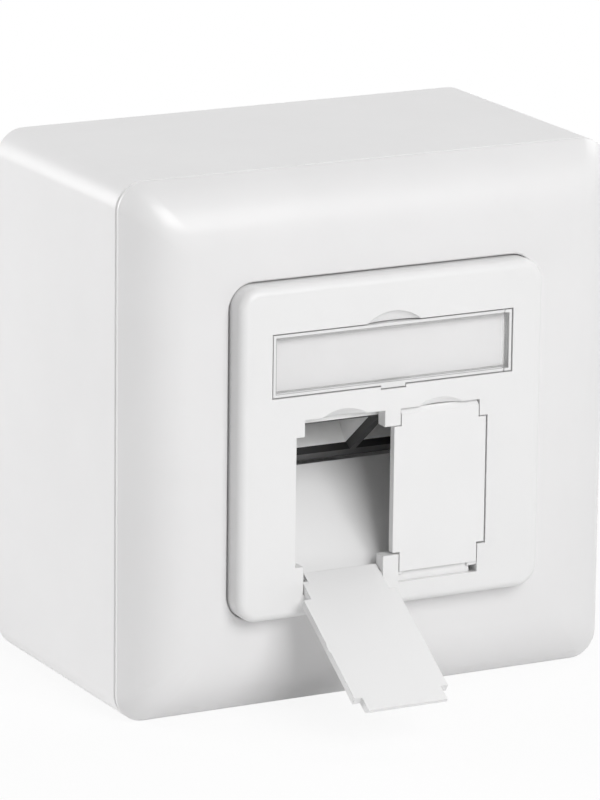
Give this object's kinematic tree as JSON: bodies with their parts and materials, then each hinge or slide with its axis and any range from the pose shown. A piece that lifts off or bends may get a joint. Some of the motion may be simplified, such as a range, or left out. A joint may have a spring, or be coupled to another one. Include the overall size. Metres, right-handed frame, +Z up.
{
  "type": "surface mount jack box",
  "caption": "Square surface mount wall box with a bevelled cover frame and a centre plate whose slanted jack ports have hinged dust flaps under a clear label window.",
  "frame": {"origin": "Centre of the back face that lies on the wall, midway between the two wall screw holes.", "axes": "+X right seen from the front, +Z up, -Y out of the wall towards the viewer; +Y points into the wall."},
  "size_m": [0.081, 0.0712, 0.081],
  "materials": {
    "housing_white": "smooth satin moulded",
    "frame_white": "smooth satin moulded",
    "plate_white": "smooth satin moulded",
    "flap_white": "smooth satin moulded",
    "cast_metal": "die-cast, matt",
    "window_clear": "clear moulded",
    "card_white": "plain card",
    "screw_steel": "zinc plated"
  },
  "bodies": {
    "housing": {"back_box": "housing_white", "cover_frame": "frame_white", "centre_plate": "plate_white", "module_carrier": "cast_metal", "label_window": "window_clear", "label_card": "card_white", "plate_screw_left": "screw_steel", "plate_screw_right": "screw_steel", "carrier_screw_left": "screw_steel", "carrier_screw_right": "screw_steel", "earth_screw": "screw_steel", "earth_washer": "screw_steel"},
    "left_flap": {"flap_left": "flap_white"},
    "right_flap": {"flap_right": "flap_white"}
  },
  "joints": [
    {"name": "hinge_left", "type": "hinge", "parent": "housing", "child": "left_flap", "pos_m": [-0.0079, -0.05, -0.02035], "axis": [-1, 0, 0], "range_deg": [0, 123]},
    {"name": "hinge_right", "type": "hinge", "parent": "housing", "child": "right_flap", "pos_m": [0.0079, -0.05, -0.02035], "axis": [1, 0, 0], "range_deg": [0, 123]}
  ]
}
